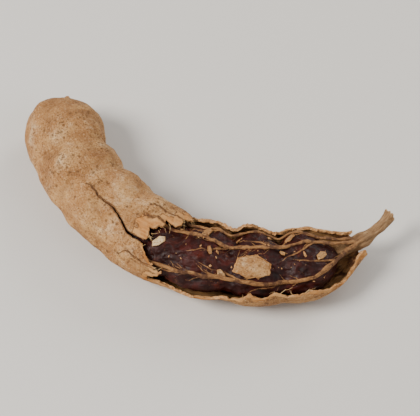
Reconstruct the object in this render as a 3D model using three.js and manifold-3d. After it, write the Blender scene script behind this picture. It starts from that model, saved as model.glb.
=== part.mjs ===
// A tamarind pod as picked, lying on its broad side. Its brittle shell is broken open over the stalk
// half, so that the dark pulp and the strings that run over it from the stalk show. One chip of shell
// is still stuck to the pulp.
// Millimetres, +Z up. The pod curves in the XY plane, with both ends towards +Y and the stalk at +X.
// The origin is on the surface that the pod lies on, under the middle of its box.
import * as THREE from "three";
import { mergeVertices } from "three/addons/utils/BufferGeometryUtils.js";
import Module from "manifold-3d";

// Driving dimensions. Lengths are in millimetres and turns in degrees.
const POD_LENGTH = 122; // along the curve, from the beak at the tip to the neck at the stalk
const POD_TURN = 134; // how far the curve turns from end to end
const OUTER_HALF = 12.2; // from the curve to the outer side, over a seed
const INNER_HALF = 11.4; // from the curve to the inner side, over a seed
const HALF_THICK = 9.2; // from the curve to the top, over a seed
const SHELL_WALL = 1.1;
const NECK_RADIUS = 4.0;
const STALK_LENGTH = 13;
const STALK_RADIUS = 1.5;
const SEED_COUNT = 7;
const FIRST_SEED = 15; // from the beak, along the curve
const LAST_SEED = 107;
const OPENING_START = 67; // where the broken opening begins, along the curve
const STRING_RADIUS = 0.5;
const VEIN_RADIUS = 0.3;

// Finer dimensions of the form.
const STALK_END_SLIMMER = 0.1; // how much slimmer each end is than the middle, as a share
const TIP_END_SLIMMER = 0.04;
const BEAK_LENGTH = 2.6;
const BEAK_SHARE = 0.13; // the beak's size as a share of the pod's
const TIP_LENGTH = 13; // over which the blunt tip reaches the full section
const TIP_BLUNTNESS = 2.3;
const NECK_LENGTH = 17; // over which the stalk end narrows to the neck
const SQUARENESS = 2.3; // exponent of the section, where 2 is an ellipse
const KEEL = 0.55; // how far the two seams stand out
const WAIST_WIDTH = 2.9; // of the narrowing between two seeds, along the curve
const OUTER_WAIST = 0.055; // how deep it is on each side, as a share of the half width
const INNER_WAIST = 0.125;
const THICK_WAIST = 0.1;
const LIFT = 0.8; // how far the underside rises between the three seeds that it rests on
const REST_CUT = 0.35; // depth of the flat spots under those seeds
const PULP_INSET = 2.7; // from the outside of the shell to the pulp
const PULP_WAIST = 1.9; // how much deeper the waists are in the pulp
const PULP_START = 7.5;
const PULP_END = 114.5;
const PULP_ROUNDING = 9; // over which each end of the pulp rounds off
const STRING_INSET = 2.12; // from the outside of the shell to the middle of a string
const CHIP_INSET = 1.66; // from the outside of the shell to the outside of the loose chip
const CHIP_WALL = 1.0;
const CHIP_PLACE = 90; // the chip's middle along the curve
const CHIP_ANGLE = 65; // and round the pod, in degrees from its outer side
const CHIP_ROUND = 7.5; // millimetres round the pod, by which an edge's corners are turned into angle

// The chip's lower and upper broken edge, from its middle: millimetres along the pod and round it.
const CHIP_LOWER = [
  [-4.7, -1.5],
  [-0.6, -2.9],
  [4.3, -2.2],
];
const CHIP_UPPER = [
  [-3.5, 1.7],
  [1.6, 2.5],
  [5.1, 0.6],
];
const OPENING_NEAR = 8; // where the opening's edges run, in degrees from the pod's outer side
const OPENING_FAR = 156;
const CRACK_HALF_ANGLE = 2.6; // half the width of a crack where it leaves the opening, in degrees
const CRACK_END = 0.35; // and where it ends
const STRING_STEP = 2.2; // between two sections of a string
const STRINGS_MEET = 2.5; // how far inside the neck the strings come together
const STALK_SUNK = 7.2; // how far the stalk reaches into the neck
const STALK_FLARE = 0.75; // how much thicker the stalk is at its base
const STALK_KNOB = 0.55; // and at its broken end
const STALK_BEND = 0.012; // how fast the stalk bends away, per square millimetre
const BITE = 3; // how far a cutter stands out past what it cuts

// How many sections each form has along its length, and how many sides round it.
const SHELL_FACETS = { rings: 92, sides: 26 };
const HOLLOW_FACETS = { rings: 64, sides: 20 };
const PULP_FACETS = { rings: 70, sides: 18 };
const STALK_FACETS = { rings: 11, sides: 10 };
const STRING_SIDES = 6;

const wasm = await Module();
wasm.setup();

const radians = (degrees) => (degrees * Math.PI) / 180;
const clamp = (value) => Math.min(1, Math.max(0, value));
const mix = (from, to, share) => from + (to - from) * share;
const smooth = (value) => clamp(value) ** 2 * (3 - 2 * clamp(value));

// A fixed pseudo-random number from 0 to 1 for a whole number and a seed.
function scatter(count, seed) {
  const wave = Math.sin(count * 12.9898 + seed * 78.233) * 437.585;
  return wave - Math.floor(wave);
}

// A jagged line that swings from -0.5 to 0.5, with a corner at each whole number.
function jag(place, seed) {
  const step = Math.floor(place);
  return mix(scatter(step, seed), scatter(step + 1, seed), place - step) - 0.5;
}

// --- The pod's curve ---

// The heading of the curve in the XY plane, tighter towards the tip than towards the stalk.
function heading(along) {
  const share = along / POD_LENGTH;
  const turned = share + 0.035 * Math.sin(2 * Math.PI * share) - 0.5;
  return radians(POD_TURN * turned + 2.2 * Math.sin(3.4 * Math.PI * share));
}

const CURVE_STEP = 0.5;
const CURVE_MARGIN = 20; // beyond each end
const curvePoints = [];
{
  const place = new THREE.Vector2(0, 0);
  for (let along = -CURVE_MARGIN; along <= POD_LENGTH + CURVE_MARGIN; along += CURVE_STEP) {
    curvePoints.push(place.clone());
    const angle = heading(clamp((along + CURVE_STEP / 2) / POD_LENGTH) * POD_LENGTH);
    place.x += Math.cos(angle) * CURVE_STEP;
    place.y += Math.sin(angle) * CURVE_STEP;
  }
}

// The point of the curve at a length along it, and the direction to the pod's outer side there.
function curveAt(along) {
  const step = Math.min(
    curvePoints.length - 2,
    Math.max(0, (along + CURVE_MARGIN) / CURVE_STEP),
  );
  const whole = Math.floor(step);
  const point = curvePoints[whole].clone().lerp(curvePoints[whole + 1], step - whole);
  const angle = heading(clamp(along / POD_LENGTH) * POD_LENGTH);
  return { point, outer: new THREE.Vector2(Math.sin(angle), -Math.cos(angle)) };
}

// How thick the pod is along its length, as a share of its middle.
function girth(along) {
  const fromMiddle = (2 * along) / POD_LENGTH - 1;
  return 1 - (fromMiddle > 0 ? STALK_END_SLIMMER : TIP_END_SLIMMER) * fromMiddle ** 2;
}

// The height of the curve: the pod rests on its first, middle and last seed, and rises a little
// between them.
function axisHeight(along) {
  const share = (2 * (along - FIRST_SEED)) / (LAST_SEED - FIRST_SEED);
  return HALF_THICK * girth(along) - REST_CUT + LIFT * Math.sin(Math.PI * share) ** 2;
}

// --- The pod's section ---

const seedPitch = (LAST_SEED - FIRST_SEED) / (SEED_COUNT - 1);

// Where the narrowing after a seed is, along the curve, and how deep it is.
const waists = Array.from({ length: SEED_COUNT - 1 }, (_, seed) => ({
  along: FIRST_SEED + seedPitch * (seed + 0.5) + 1.3 * Math.sin(2.1 * seed + 1),
  depth: 0.8 + 0.35 * Math.sin(1.7 * seed + 0.4),
}));

// How narrow the pod is at a length along it: 0 over a seed and about 1 between two seeds.
function waist(along) {
  return waists.reduce(
    (sum, each) => sum + each.depth * Math.exp(-(((along - each.along) / WAIST_WIDTH) ** 2)),
    0,
  );
}

// The share of the full section that the blunt tip and its beak have reached.
function tipShare(fromBeak) {
  const beak = BEAK_SHARE * Math.sqrt(clamp(fromBeak / BEAK_LENGTH));
  const missing = 1 - clamp((fromBeak - BEAK_LENGTH) / TIP_LENGTH);
  const body = (1 - missing ** TIP_BLUNTNESS) ** (1 / TIP_BLUNTNESS);
  return Math.hypot(beak, body * Math.sqrt(1 - BEAK_SHARE ** 2));
}

// Slow hollows and swellings that keep the pod from being regular, less on its underside.
function unevenness(along, angle) {
  const wave =
    0.3 * Math.sin(0.16 * along + 2 * angle + 0.6) +
    0.22 * Math.sin(0.31 * along - 3 * angle + 1.9) +
    0.14 * Math.sin(0.53 * along + 4 * angle);
  return wave * (0.6 + 0.4 * Math.sin(angle));
}

// A point of the section: how far out and how far up it is from the curve, at an inset into the pod.
// Angle 0 is the pod's outer side, and a quarter turn is its top.
function section(along, angle, inset, waistScale) {
  const narrow = waist(along) * waistScale;
  const full = girth(along);
  const neck = smooth((POD_LENGTH - along) / NECK_LENGTH) ** 0.8;
  const tip = tipShare(along - inset);
  const cosine = Math.cos(angle);
  const sine = Math.sin(angle);
  const side =
    cosine > 0 ? OUTER_HALF * (1 - OUTER_WAIST * narrow) : INNER_HALF * (1 - INNER_WAIST * narrow);
  const round = 2 / SQUARENESS;
  const seam = KEEL * Math.exp(-(((1 - Math.abs(cosine)) / 0.02) ** 2));
  const thick = HALF_THICK * (1 - THICK_WAIST * narrow);
  const taken = inset * Math.min(1, 4 * tip);
  const halfOut = tip * mix(NECK_RADIUS, side * full, neck) - taken;
  const halfUp = tip * mix(NECK_RADIUS, thick * full, neck) - taken;
  const bumps = unevenness(along, angle) * tip * neck;
  return {
    out: Math.sign(cosine) * Math.abs(cosine) ** round * (halfOut + bumps + seam * tip),
    up: Math.sign(sine) * Math.abs(sine) ** round * (halfUp + bumps),
  };
}

// A point in space, from a length along the pod, an angle round it and an inset into it.
function podPoint(along, angle, inset, waistScale = 1) {
  const { point, outer } = curveAt(along);
  const { out, up } = section(along, angle, inset, waistScale);
  return new THREE.Vector3(
    point.x + outer.x * out,
    point.y + outer.y * out,
    axisHeight(along) + up,
  );
}

// --- Closed surfaces and solids ---

function indexed(points, triangles) {
  const geometry = new THREE.BufferGeometry().setFromPoints(points);
  geometry.setIndex(triangles);
  return geometry;
}

// A closed skin over rings of points, each end closed to its middle.
function skin(rings) {
  const sides = rings[0].length;
  const points = rings.flat();
  const triangles = [];
  const corner = (ring, side) => ring * sides + (side % sides);
  for (let ring = 0; ring < rings.length - 1; ring += 1) {
    for (let side = 0; side < sides; side += 1) {
      const [a, b] = [corner(ring, side), corner(ring + 1, side)];
      const [c, d] = [corner(ring + 1, side + 1), corner(ring, side + 1)];
      triangles.push(a, b, c, a, c, d);
    }
  }
  const middle = (ring) =>
    ring.reduce((sum, point) => sum.add(point), new THREE.Vector3()).divideScalar(sides);
  const last = rings.length - 1;
  points.push(middle(rings[0]), middle(rings[last]));
  for (let side = 0; side < sides; side += 1) {
    triangles.push(points.length - 2, corner(0, side), corner(0, side + 1));
    triangles.push(points.length - 1, corner(last, side + 1), corner(last, side));
  }
  return indexed(points, triangles);
}

// A curved plate of the pod between two insets. outline gives the length along the pod and the angle
// round it for two shares from 0 to 1.
function plate(outline, outside, inside, steps, rows) {
  const points = [];
  const triangles = [];
  const corner = (layer, step, row) => (layer * (steps + 1) + step) * (rows + 1) + row;
  for (const inset of [outside, inside]) {
    for (let step = 0; step <= steps; step += 1) {
      for (let row = 0; row <= rows; row += 1) {
        const [along, angle] = outline(step / steps, row / rows);
        points.push(podPoint(along, angle, inset));
      }
    }
  }
  const quad = (a, b, c, d) => triangles.push(a, b, c, a, c, d);
  for (let step = 0; step < steps; step += 1) {
    for (let row = 0; row < rows; row += 1) {
      const around = (layer) => [
        corner(layer, step, row),
        corner(layer, step + 1, row),
        corner(layer, step + 1, row + 1),
        corner(layer, step, row + 1),
      ];
      quad(...around(0));
      quad(...around(1).reverse());
    }
  }
  for (let step = 0; step < steps; step += 1) {
    quad(corner(0, step, 0), corner(1, step, 0), corner(1, step + 1, 0), corner(0, step + 1, 0));
    quad(
      corner(0, step + 1, rows),
      corner(1, step + 1, rows),
      corner(1, step, rows),
      corner(0, step, rows),
    );
  }
  for (let row = 0; row < rows; row += 1) {
    quad(corner(0, 0, row + 1), corner(1, 0, row + 1), corner(1, 0, row), corner(0, 0, row));
    quad(
      corner(0, steps, row),
      corner(1, steps, row),
      corner(1, steps, row + 1),
      corner(0, steps, row + 1),
    );
  }
  return indexed(points, triangles);
}

function solid(geometry) {
  const bare = geometry.clone();
  bare.deleteAttribute("normal");
  bare.deleteAttribute("uv");
  const merged = mergeVertices(bare, 1e-4);
  return new wasm.Manifold(
    new wasm.Mesh({
      numProp: 3,
      vertProperties: merged.attributes.position.array,
      triVerts: new Uint32Array(merged.index.array),
    }),
  );
}

function geometryOf(made) {
  const mesh = made.getMesh();
  const geometry = new THREE.BufferGeometry();
  geometry.setAttribute("position", new THREE.BufferAttribute(mesh.vertProperties, 3));
  geometry.setIndex(new THREE.BufferAttribute(mesh.triVerts, 1));
  geometry.computeVertexNormals();
  return geometry;
}

// Rings round the pod between two lengths along it, closer together towards both ends.
function ringsBetween(from, to, { rings, sides }, pointAt) {
  return Array.from({ length: rings + 1 }, (_, ring) => {
    const share = ring / rings;
    const along = mix(from, to, share - (0.7 * Math.sin(2 * Math.PI * share)) / (2 * Math.PI));
    return Array.from({ length: sides }, (_side, side) =>
      pointAt(along, (2 * Math.PI * side) / sides),
    );
  });
}

// --- The broken opening ---

// The broken edge across the pod: its place along the pod, by the angle in radians.
function openingStart(angle) {
  return OPENING_START + 10 * jag(angle * 2.3 + 0.4, 3) + 3.5 * jag(angle * 6.1, 8);
}

// The broken edges along the pod's outer and inner side: the angle in degrees, by the length.
function openingSides(along) {
  const near = OPENING_NEAR + 30 * jag(along / 7.5, 5) + 13 * jag(along / 2.9, 6);
  const far = OPENING_FAR + 30 * jag(along / 8.3 + 0.3, 11) + 12 * jag(along / 3.1, 12);
  return [radians(near), radians(far)];
}

function opening() {
  const outline = (share, turn) => {
    const [startNear, startFar] = openingSides(OPENING_START);
    const start = openingStart(mix(startNear, startFar, turn));
    const along = mix(start, POD_LENGTH + BITE, share);
    const [near, far] = openingSides(along);
    return [along, mix(near, far, turn)];
  };
  return solid(plate(outline, -BITE, SHELL_WALL + 0.9, 48, 22));
}

// A zigzag crack that runs from the opening towards the tip and thins out.
function crack(fromAngle, length, lean, seed) {
  const angleOf = (share) => radians(fromAngle + lean * share + 16 * jag(share * 5.3, seed));
  const start = openingStart(radians(fromAngle)) + 2;
  const outline = (share, turn) => {
    const halfWidth = radians(mix(CRACK_HALF_ANGLE, CRACK_END, share));
    return [start - length * share, angleOf(share) + halfWidth * (2 * turn - 1)];
  };
  const made = plate((share, turn) => outline(1 - share, turn), -BITE, SHELL_WALL + 0.9, 14, 1);
  return solid(made);
}

// --- The pieces ---

function shell() {
  const outsideAt = (along, angle) => podPoint(along, angle, 0);
  const hollowAt = (along, angle) => podPoint(along, angle, SHELL_WALL);
  const hollowStart = BEAK_LENGTH + 2 * SHELL_WALL;
  const hollowEnd = POD_LENGTH + BITE;
  const outside = solid(skin(ringsBetween(0, POD_LENGTH, SHELL_FACETS, outsideAt)));
  const hollow = solid(skin(ringsBetween(hollowStart, hollowEnd, HOLLOW_FACETS, hollowAt)));
  const depth = 10; // of the block below the surface that the pod lies on
  const ground = new THREE.BoxGeometry(3 * POD_LENGTH, 3 * POD_LENGTH, depth);
  ground.translate(0, 0, -depth / 2);
  return outside
    .subtract(hollow)
    .subtract(opening())
    .subtract(crack(62, 25, 12, 21))
    .subtract(crack(118, 13, -14, 24))
    .subtract(solid(ground));
}

function pulp() {
  const pointAt = (along, angle) => {
    const fromStart = clamp((along - PULP_START) / PULP_ROUNDING);
    const fromEnd = clamp((PULP_END - along) / PULP_ROUNDING);
    const rounding = Math.sqrt(1 - (1 - fromStart) ** 2) * Math.sqrt(1 - (1 - fromEnd) ** 2);
    const middle = podPoint(along, 0, 0, 0);
    const opposite = podPoint(along, Math.PI, 0, 0);
    middle.add(opposite).divideScalar(2);
    return middle.lerp(podPoint(along, angle, PULP_INSET, PULP_WAIST), mix(0.06, 1, rounding));
  };
  return solid(skin(ringsBetween(PULP_START, PULP_END, PULP_FACETS, pointAt)));
}

// A round string along a list of points.
function string(points, radius) {
  const curve = new THREE.CatmullRomCurve3(points, false, "centripetal");
  const round = new THREE.Shape().absarc(0, 0, radius, 0, 2 * Math.PI);
  return solid(
    new THREE.ExtrudeGeometry(round, {
      extrudePath: curve,
      steps: Math.ceil(curve.getLength() / STRING_STEP),
      curveSegments: STRING_SIDES / 2,
    }),
  );
}

// The main strings: where each one runs round the pod, in degrees, at its hidden end, over the middle
// of the opening and at the stalk, and how far towards the tip it reaches.
const MAIN_STRINGS = [
  { angles: [40, 30, 62], reach: 24 },
  { angles: [84, 101, 92], reach: 34 },
  { angles: [128, 141, 122], reach: 20 },
];

// The angle of a main string at a length along the pod, with its own slow sway.
function stringAngle({ angles, reach }, along, seed) {
  const middle = 92;
  const angle =
    along < middle
      ? mix(angles[0], angles[1], smooth((along - reach) / (middle - reach)))
      : mix(angles[1], angles[2], smooth((along - middle) / (POD_LENGTH - middle)));
  return radians(angle + 5 * Math.sin(0.17 * along + 2 * seed));
}

function mainString(each, seed) {
  const points = [];
  const steps = 20;
  for (let step = 0; step <= steps; step += 1) {
    const along = mix(each.reach, POD_LENGTH - STRINGS_MEET, step / steps);
    points.push(podPoint(along, stringAngle(each, along, seed), STRING_INSET, 1));
  }
  points.push(stalkMiddle(2));
  return string(points, STRING_RADIUS);
}

// The fine veins that branch off the main strings over the pulp: the string, where the vein leaves it,
// how far it runs along the pod and how far it turns round it, in degrees.
const VEINS = [
  [0, 112, -12, 24],
  [0, 101, -13, -26],
  [0, 88, -12, 28],
  [0, 74, -9, -24],
  [1, 108, -11, -22],
  [1, 97, -12, 22],
  [1, 84, -11, -22],
  [1, 76, -12, 20],
  [2, 106, -12, -20],
  [2, 94, -11, 22],
  [2, 81, -13, -22],
];

function vein([main, from, run, turn]) {
  const points = [];
  const steps = 5;
  const start = stringAngle(MAIN_STRINGS[main], from, main);
  for (let step = 0; step <= steps; step += 1) {
    const share = step / steps;
    const angle = start + radians(turn) * share ** 0.8;
    const inset = mix(STRING_INSET, STRING_INSET + 0.2, share);
    points.push(podPoint(from + run * share, angle, inset, 1));
  }
  return string(points, VEIN_RADIUS);
}

// The stalk's middle line, a length past the neck.
function stalkMiddle(past) {
  const { point } = curveAt(POD_LENGTH + past);
  const bend = STALK_BEND * Math.max(0, past) ** 2;
  const height = axisHeight(POD_LENGTH) + 0.9 * bend;
  return new THREE.Vector3(point.x - bend, point.y, height);
}

// How thick the stalk is, a length past the neck: it slims to a blunt point inside the neck.
function stalkRadius(past) {
  const flare = STALK_FLARE * Math.exp(-(((past - 0.5) / 3) ** 2));
  const knob = STALK_KNOB * Math.exp(-(((past - STALK_LENGTH) / 2) ** 2));
  const sunk = (past + STALK_SUNK) / (STALK_LENGTH + STALK_SUNK);
  return (STALK_RADIUS + flare + knob) * Math.sqrt(clamp(0.25 + 6 * sunk));
}

function stalk() {
  const { rings, sides } = STALK_FACETS;
  const ring = (past, raggedness) => {
    const { outer } = curveAt(POD_LENGTH + past);
    return Array.from({ length: sides }, (_, side) => {
      const angle = (2 * Math.PI * side) / sides;
      const radius = stalkRadius(past) * (1 + 0.08 * Math.sin(3 * angle + past));
      const middle = stalkMiddle(past + raggedness * scatter(side, 31));
      middle.x += outer.x * Math.cos(angle) * radius;
      middle.y += outer.y * Math.cos(angle) * radius;
      middle.z += Math.sin(angle) * radius;
      return middle;
    });
  };
  const all = Array.from({ length: rings + 1 }, (_, count) =>
    ring(mix(-STALK_SUNK, STALK_LENGTH, count / rings), count === rings ? 0.9 : 0),
  );
  return solid(skin(all));
}

function stalkAndStrings() {
  const pieces = [stalk(), ...MAIN_STRINGS.map(mainString), ...VEINS.map(vein)];
  return pieces.reduce((whole, piece) => whole.add(piece));
}

// A broken chip of shell that is stuck to the pulp between two strings.
function chip() {
  const edgePoint = (edge, share) => {
    const first = Math.min(edge.length - 2, Math.floor(share * (edge.length - 1)));
    const past = share * (edge.length - 1) - first;
    return [0, 1].map((axis) => mix(edge[first][axis], edge[first + 1][axis], past));
  };
  const outline = (share, turn) => {
    const lower = edgePoint(CHIP_LOWER, share);
    const upper = edgePoint(CHIP_UPPER, share);
    const along = CHIP_PLACE + mix(lower[0], upper[0], turn);
    return [along, radians(CHIP_ANGLE) + mix(lower[1], upper[1], turn) / CHIP_ROUND];
  };
  return solid(plate(outline, CHIP_INSET, CHIP_INSET + CHIP_WALL, 8, 6));
}

// --- The assembly ---

const MATERIALS = {
  shell: { color: 0xb9946b, roughness: 0.85 },
  pulp: { color: 0x3d1710, roughness: 0.35 },
  strings: { color: 0xa87b4a, roughness: 0.7 },
};

function piece(name, made, material) {
  const mesh = new THREE.Mesh(
    geometryOf(made),
    new THREE.MeshStandardMaterial({ metalness: 0, ...MATERIALS[material] }),
  );
  mesh.name = name;
  return mesh;
}

const pod = new THREE.Group();
pod.add(
  piece("shell", shell(), "shell"),
  piece("shell_chip", chip(), "shell"),
  piece("pulp", pulp(), "pulp"),
  piece("stalk_and_strings", stalkAndStrings(), "strings"),
);
const box = new THREE.Box3().setFromObject(pod);
const boxMiddle = box.getCenter(new THREE.Vector3());
pod.position.set(-boxMiddle.x, -boxMiddle.y, -box.min.z);

export default pod;
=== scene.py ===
# A tamarind pod lying on its broad side, its brittle shell broken open over the stalk half.
# Each skin starts as a flat sheet of small squares, is cut while it is flat, and is then wrapped round
# the pod's curve. Forms are worked out in millimetres and placed in metres.
import math
from functools import cache

import bpy
import numpy as np
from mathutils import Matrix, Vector, noise


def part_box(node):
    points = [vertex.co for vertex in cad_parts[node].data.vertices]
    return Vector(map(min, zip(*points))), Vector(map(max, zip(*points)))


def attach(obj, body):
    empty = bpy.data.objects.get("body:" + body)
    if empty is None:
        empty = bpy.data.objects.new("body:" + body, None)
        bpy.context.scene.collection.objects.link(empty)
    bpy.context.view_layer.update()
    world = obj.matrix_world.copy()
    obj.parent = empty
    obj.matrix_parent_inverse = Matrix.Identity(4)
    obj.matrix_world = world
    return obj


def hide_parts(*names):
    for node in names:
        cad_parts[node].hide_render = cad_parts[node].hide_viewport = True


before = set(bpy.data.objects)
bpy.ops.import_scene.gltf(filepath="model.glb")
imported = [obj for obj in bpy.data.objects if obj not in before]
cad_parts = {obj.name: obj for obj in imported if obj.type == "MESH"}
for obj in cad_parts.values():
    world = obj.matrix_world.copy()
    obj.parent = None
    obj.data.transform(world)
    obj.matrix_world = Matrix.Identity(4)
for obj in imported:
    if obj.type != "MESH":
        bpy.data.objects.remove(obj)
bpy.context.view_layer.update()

MM = 0.001

# The pod's form, as its solids have it: millimetres and degrees.
POD_LENGTH = 122.0
POD_TURN = 134.0
OUTER_HALF = 12.2
INNER_HALF = 11.4
HALF_THICK = 9.2
NECK_RADIUS = 4.0
STALK_LENGTH = 13.0
STALK_RADIUS = 1.5
SEED_COUNT = 7
FIRST_SEED = 15.0
LAST_SEED = 107.0
STALK_END_SLIMMER = 0.1
TIP_END_SLIMMER = 0.04
BEAK_LENGTH = 2.6
BEAK_SHARE = 0.13
TIP_LENGTH = 13.0
TIP_BLUNTNESS = 2.3
NECK_LENGTH = 17.0
SQUARENESS = 2.3
KEEL = 0.55
KEEL_SPREAD = 0.02
WAIST_WIDTH = 2.9
OUTER_WAIST = 0.055
INNER_WAIST = 0.125
THICK_WAIST = 0.1
LIFT = 0.8
REST_CUT = 0.35
OPENING_START = 67.0
OPENING_NEAR = 8.0
OPENING_FAR = 156.0
PULP_INSET = 2.7
PULP_WAIST = 1.9
PULP_START = 7.5
PULP_END = 114.5
PULP_ROUNDING = 9.0
STRING_INSET = 2.12
CHIP_INSET = 1.66
CHIP_PLACE = 90.0
CHIP_ANGLE = 65.0

# The finer form of the skins.
SHELL_WALL = 0.95
SKIN_SUNK = 0.3  # how far the skin's lumps start below the solid's surface, to stay inside its box
SHELL_RINGS = 300
SHELL_SIDES = 168
PULP_RINGS = 400
PULP_SIDES = 190
UNDERSIDE = -90.0  # the angle at which a wrapped sheet's two long edges meet
SEAM_REACH = 0.008
BROKEN_SLOT = 2  # the material slot of the broken edge
EDGE_LAYERS = 3

# Millimetres round the pod for each radian: at the loose chip, on the flesh and at the broken edge.
CHIP_ROUND = 7.5
FLESH_ROUND = 7.0
EDGE_ROUND = 9.5


# --- Small sums ---


def clamp(value):
    return np.clip(value, 0.0, 1.0)


def mix(first, last, share):
    return first + (last - first) * share


def smooth(value):
    return clamp(value) ** 2 * (3 - 2 * clamp(value))


def scatter(count, seed):
    """A fixed pseudo-random number from 0 to 1 for a whole number and a seed."""
    wave = np.sin(count * 12.9898 + seed * 78.233) * 437.585
    return wave - np.floor(wave)


def draw(first, last, count, seed, power=1.0):
    """A fixed number between two others; a power above 1 makes most of them lie near the first."""
    return mix(first, last, scatter(count, seed) ** power)


def bell(value):
    return np.exp(-(value**2))


def rotated(x, y, angle):
    return x * math.cos(angle) - y * math.sin(angle), x * math.sin(angle) + y * math.cos(angle)


def jag(place, seed):
    """A jagged line that swings from -0.5 to 0.5, with a corner at each whole number."""
    step = np.floor(place)
    return mix(scatter(step, seed), scatter(step + 1, seed), place - step) - 0.5


def notch(place, seed):
    """A line that is mostly straight, with a sharp notch or point here and there, from -0.5 to 0.5."""
    return 4 * jag(place, seed) ** 3


def grain(places, size, octaves=3):
    """Noise from about -1 to 1 at each place, with swellings about a size across."""
    return np.array([noise.fractal(Vector(each), 1.0, 2.0, octaves) for each in places / size])


def stray(places, size, octaves, shifts):
    """Three noises side by side, which move each place a little."""
    return np.stack([grain(places + shift, size, octaves) for shift in shifts], -1)


# --- The pod's curve and section ---


def heading(along):
    """The direction that the pod's curve has at a length along it, in radians."""
    share = along / POD_LENGTH
    turned = share + 0.035 * np.sin(2 * np.pi * share) - 0.5
    return np.radians(POD_TURN * turned + 2.2 * np.sin(3.4 * np.pi * share))


CURVE_STEP = 0.5
CURVE_MARGIN = 20.0
curve_along = np.arange(-CURVE_MARGIN, POD_LENGTH + CURVE_MARGIN + CURVE_STEP / 2, CURVE_STEP)
curve_heading = heading(clamp((curve_along + CURVE_STEP / 2) / POD_LENGTH) * POD_LENGTH)
curve_x = np.concatenate([[0], np.cumsum(np.cos(curve_heading) * CURVE_STEP)[:-1]])
curve_y = np.concatenate([[0], np.cumsum(np.sin(curve_heading) * CURVE_STEP)[:-1]])


def on_curve(along):
    """The pod's curve in plan: x and y at lengths along it."""
    return np.interp(along, curve_along, curve_x), np.interp(along, curve_along, curve_y)


def girth(along):
    """The pod is a little slimmer towards its ends."""
    from_middle = 2 * along / POD_LENGTH - 1
    slimmer = np.where(from_middle > 0, STALK_END_SLIMMER, TIP_END_SLIMMER)
    return 1 - slimmer * from_middle**2


def axis_height(along):
    """The pod rests on its first, middle and last swellings, and rises a little between them."""
    share = 2 * (along - FIRST_SEED) / (LAST_SEED - FIRST_SEED)
    return HALF_THICK * girth(along) - REST_CUT + LIFT * np.sin(np.pi * share) ** 2


SEED_PITCH = (LAST_SEED - FIRST_SEED) / (SEED_COUNT - 1)
WAISTS = []  # each waist's place and depth: no two are alike
for seed in range(SEED_COUNT - 1):
    waist_place = FIRST_SEED + SEED_PITCH * (seed + 0.5) + 1.3 * math.sin(2.1 * seed + 1)
    WAISTS.append((waist_place, 0.8 + 0.35 * math.sin(1.7 * seed + 0.4)))


def waist(along):
    """How narrow the pod is: 0 over a seed and about 1 between two seeds."""
    return sum(depth * bell((along - place) / WAIST_WIDTH) for place, depth in WAISTS)


def tip_share(from_beak):
    """The share of the full section that the blunt tip and its beak have reached."""
    beak = BEAK_SHARE * np.sqrt(clamp(from_beak / BEAK_LENGTH))
    missing = 1 - clamp((from_beak - BEAK_LENGTH) / TIP_LENGTH)
    body = (1 - missing**TIP_BLUNTNESS) ** (1 / TIP_BLUNTNESS)
    return np.hypot(beak, body * math.sqrt(1 - BEAK_SHARE**2))


def unevenness(along, angle):
    """Slow swellings of the whole pod, in millimetres: strongest on top and weakest below."""
    wave = (
        0.3 * np.sin(0.16 * along + 2 * angle + 0.6)
        + 0.22 * np.sin(0.31 * along - 3 * angle + 1.9)
        + 0.14 * np.sin(0.53 * along + 4 * angle)
    )
    return wave * (0.6 + 0.4 * np.sin(angle))


def section(along, angle, inset, waist_scale=1.0):
    """How far out and up from the curve a point is. Angle 0 is the outer side, a quarter turn the top."""
    narrow = waist(along) * waist_scale
    full = girth(along)
    neck = smooth((POD_LENGTH - along) / NECK_LENGTH) ** 0.8
    tip = tip_share(along - np.maximum(inset, 0))
    cosine, sine = np.cos(angle), np.sin(angle)
    outer = OUTER_HALF * (1 - OUTER_WAIST * narrow)
    inner = INNER_HALF * (1 - INNER_WAIST * narrow)
    side = np.where(cosine > 0, outer, inner)
    seam = KEEL * bell((1 - np.abs(cosine)) / KEEL_SPREAD)
    thick = HALF_THICK * (1 - THICK_WAIST * narrow)
    taken = inset * np.minimum(1, 4 * tip)
    half_out = tip * mix(NECK_RADIUS, side * full, neck) - taken
    half_up = tip * mix(NECK_RADIUS, thick * full, neck) - taken
    bumps = unevenness(along, angle) * tip * neck
    power = 2 / SQUARENESS
    out = np.sign(cosine) * np.abs(cosine) ** power * (half_out + bumps + seam * tip)
    up = np.sign(sine) * np.abs(sine) ** power * (half_up + bumps)
    return out, up


def pod_point(along, angle, inset, waist_scale=1.0):
    """Points in space, in millimetres, from lengths along the pod, angles round it and insets."""
    x, y = on_curve(along)
    turn = heading(clamp(along / POD_LENGTH) * POD_LENGTH)
    out, up = section(along, angle, inset, waist_scale)
    return np.stack([x + np.sin(turn) * out, y - np.cos(turn) * out, axis_height(along) + up], -1)


def straightened(along, angle, inset=0.0, waist_scale=1.0):
    """The same points as if the pod were straight, for even patterns."""
    return np.stack([along, *section(along, angle, inset, waist_scale)], -1)


def shift_to_frame():
    """How far the frame moved the pod sideways, from its tip end and its outer side."""
    along, angle = np.meshgrid(np.linspace(0, POD_LENGTH, 500), np.radians(np.arange(0, 360, 2)))
    low = pod_point(along.ravel(), angle.ravel(), 0.0).min(0)
    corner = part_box("shell")[0]
    return np.array([corner.x / MM - low[0], corner.y / MM - low[1], 0.0])


SHIFT = shift_to_frame()


# --- Handling of meshes ---


def read(elements, field, width=1, kind=np.int32):
    """A value, or several side by side, of each vertex, edge, face or face corner."""
    values = np.empty(width * len(elements), kind)
    elements.foreach_get(field, values)
    return values.reshape(-1, width) if width > 1 else values


def coordinates(piece):
    return read(piece.data.vertices, "co", 3, float)


def place(piece, points):
    piece.data.vertices.foreach_set("co", points.ravel())
    piece.data.update()


def only(piece):
    """Makes this the only selected piece."""
    bpy.ops.object.select_all(action="DESELECT")
    piece.select_set(True)
    bpy.context.view_layer.objects.active = piece


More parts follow.
